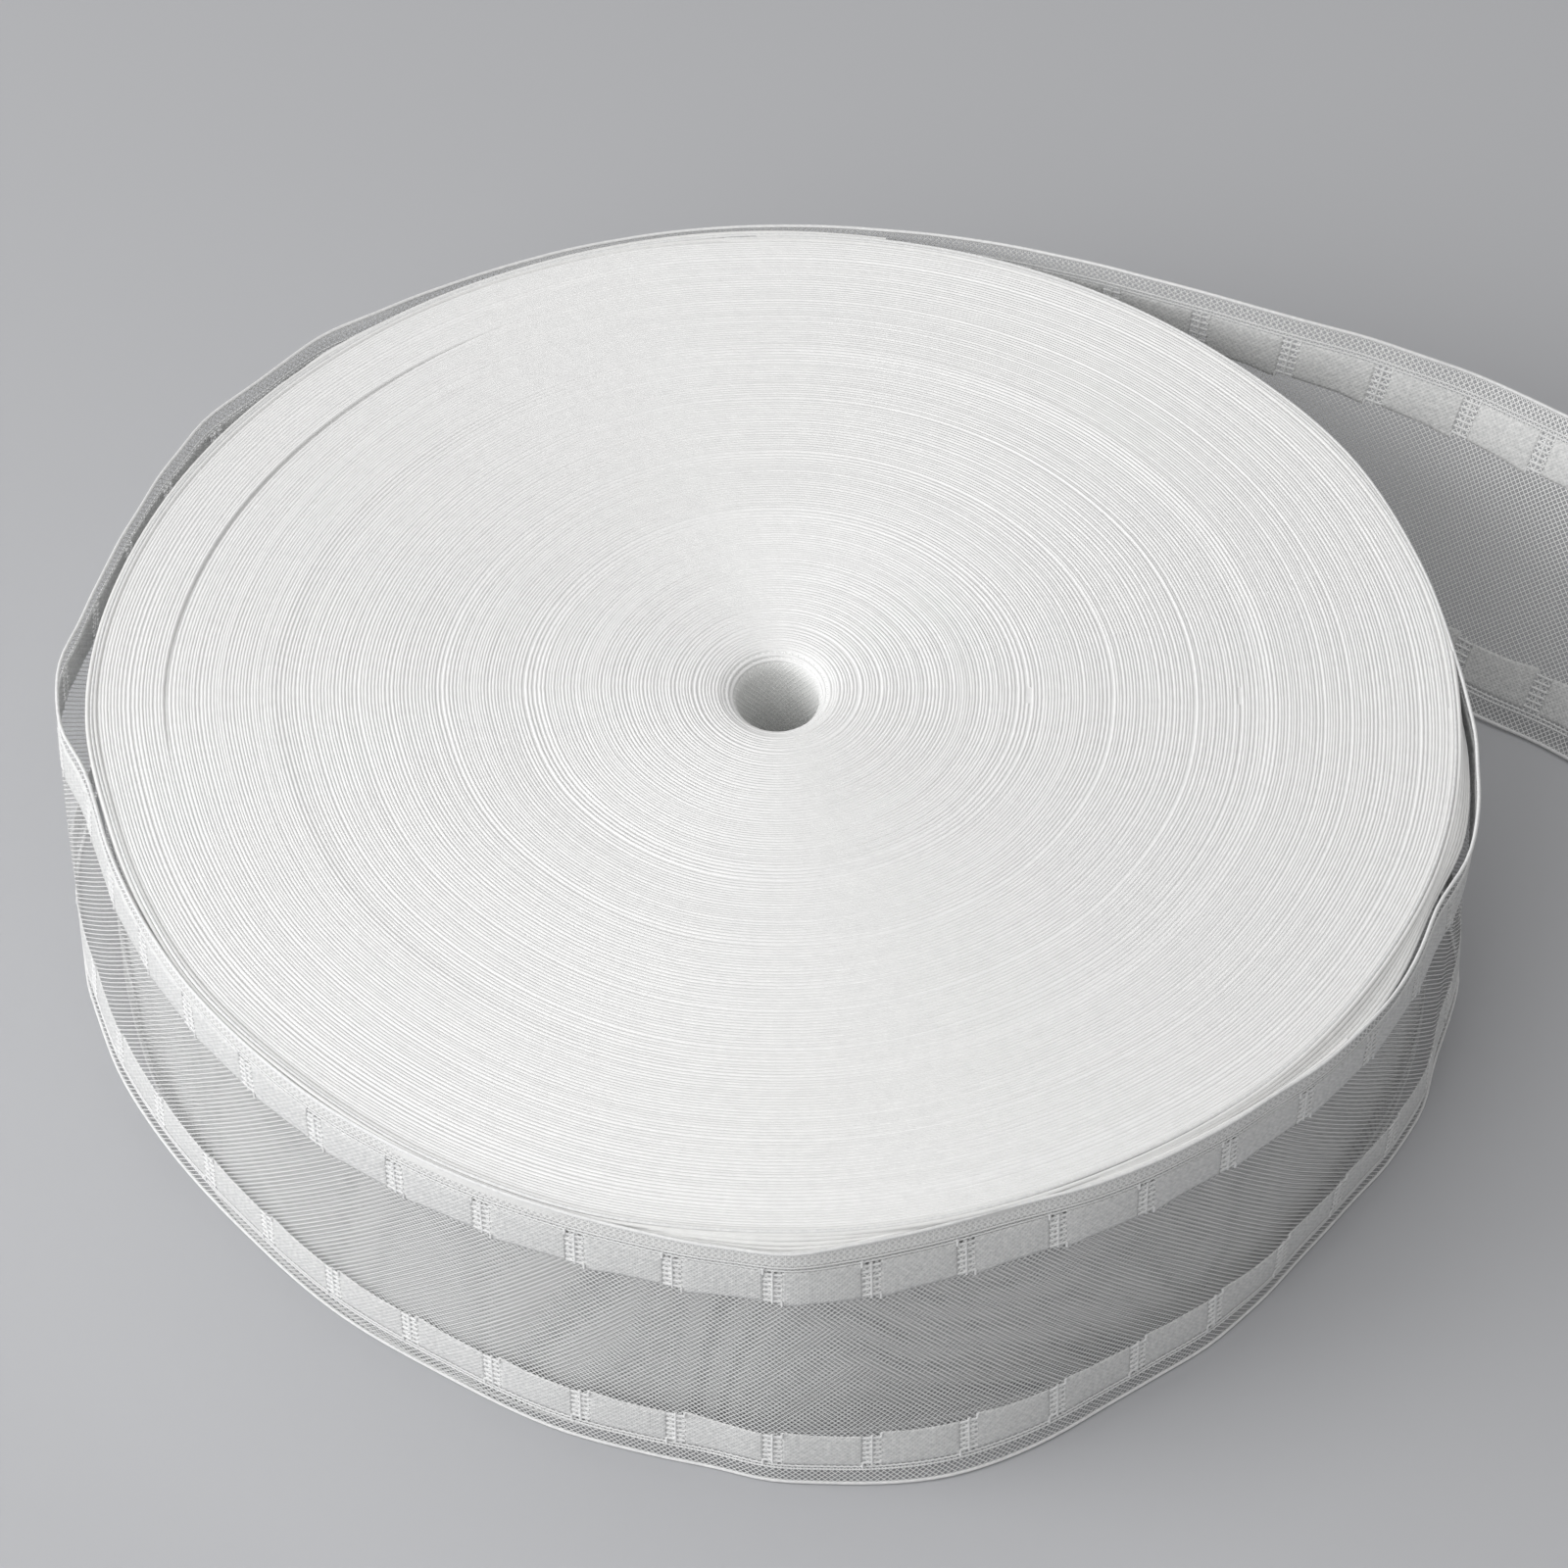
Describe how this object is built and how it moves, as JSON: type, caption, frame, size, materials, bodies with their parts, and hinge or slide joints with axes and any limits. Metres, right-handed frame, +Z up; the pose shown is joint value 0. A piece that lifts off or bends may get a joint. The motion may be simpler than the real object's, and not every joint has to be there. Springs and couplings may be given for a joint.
{
  "type": "roll of curtain heading tape",
  "caption": "Flat-lying roll of sheer white net curtain heading tape with woven hook pockets, loose outer turns and its end run out.",
  "frame": {"origin": "middle of the whole outline on the table plane, where the roll and the run-out end rest", "axes": "+Z up along the roll's axis, +X towards the cut end of the tape, the roll's axis 90 mm from the origin on the -X side"},
  "size_m": [0.5234, 0.3266, 0.08],
  "materials": {
    "wound_tape": "packed selvedges of white polyester monofilament tape, matt with a faint sheen",
    "net_tape": "sheer woven monofilament net with dense satin-woven hook pockets and corded selvedges"
  },
  "bodies": {
    "root": {"wound_body": "wound_tape", "loose_end": "net_tape"}
  },
  "joints": []
}
